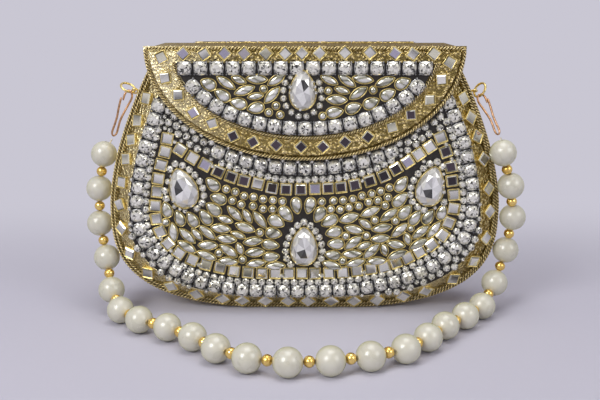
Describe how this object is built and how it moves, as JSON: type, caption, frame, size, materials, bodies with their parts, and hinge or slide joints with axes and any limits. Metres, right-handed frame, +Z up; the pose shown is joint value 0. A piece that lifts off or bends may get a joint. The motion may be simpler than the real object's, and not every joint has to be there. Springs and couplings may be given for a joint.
{
  "type": "clutch bag",
  "caption": "Rigid clutch bag with a stone-set metal front, a hinged semicircular flap with a magnetic catch, and a beaded pearl strand handle hooked to side rings.",
  "frame": {"origin": "on the floor plane under the middle of the case, halfway through the depth of the stone-set case", "axes": "+Z up, -Y towards the stone-set front, +X to the right as the front is seen"},
  "size_m": [0.2373, 0.1337, 0.1427],
  "materials": {
    "gold_foil": "hammered antique gold",
    "gold_rope": "twisted antique gold wire",
    "dark_resin": "black grout with foiled stones",
    "lining_cloth": "dark velvet",
    "steel": "bare",
    "clear_glass": "foil backed, faceted",
    "mirror_glass": "bevelled squares in gold cups",
    "copper_wire": "copper toned",
    "pearl": "pearlescent",
    "bead_gold": "bright gold"
  },
  "bodies": {
    "case": {"front_panel": "gold_foil", "back_panel": "gold_foil", "front_resin_bed": "dark_resin", "side_band": "gold_foil", "front_rope_outer": "gold_rope", "front_rope_inner": "gold_rope", "rear_rope": "gold_rope", "front_lining": "lining_cloth", "back_lining": "lining_cloth", "side_lining": "lining_cloth", "case_hinge_leaf": "gold_foil", "hinge_pin": "steel", "case_magnet": "steel", "band_mirror_strip": "mirror_glass", "case_rhinestone_chain": "clear_glass", "crystal_left": "clear_glass", "crystal_right": "clear_glass", "crystal_lower": "clear_glass"},
    "flap": {"flap_panel": "gold_foil", "flap_resin_bed": "dark_resin", "flap_top_plate": "gold_foil", "flap_rope_outer": "gold_rope", "flap_rope_inner": "gold_rope", "flap_lining": "lining_cloth", "flap_hinge_leaf": "gold_foil", "flap_magnet": "steel", "flap_crystal": "clear_glass", "flap_rhinestone_chain": "clear_glass", "flap_mirror_strip": "mirror_glass"},
    "handle": {"side_eye_left": "gold_rope", "side_eye_right": "gold_rope", "ring_left": "gold_rope", "ring_right": "gold_rope", "hook_left": "copper_wire", "hook_right": "copper_wire", "beaded_thread": "bead_gold", "pearl_01": "pearl", "pearl_02": "pearl", "pearl_03": "pearl", "pearl_04": "pearl", "pearl_05": "pearl", "pearl_06": "pearl", "pearl_07": "pearl", "pearl_08": "pearl", "pearl_09": "pearl", "pearl_10": "pearl", "pearl_11": "pearl", "pearl_12": "pearl", "pearl_13": "pearl", "pearl_14": "pearl", "pearl_15": "pearl", "pearl_16": "pearl", "pearl_17": "pearl", "pearl_18": "pearl", "pearl_19": "pearl", "pearl_20": "pearl", "pearl_21": "pearl", "pearl_22": "pearl", "pearl_23": "pearl", "pearl_24": "pearl"}
  },
  "joints": [
    {"name": "flap_hinge", "type": "hinge", "parent": "case", "child": "flap", "pos_m": [0, 0.0234, 0.141], "axis": [-1, 0, 0], "range_deg": [0, 115]},
    {"name": "handle_swing", "type": "hinge", "parent": "case", "child": "handle", "pos_m": [0, 0.00815, 0.117], "axis": [-1, 0, 0], "range_deg": [0, 150]}
  ]
}
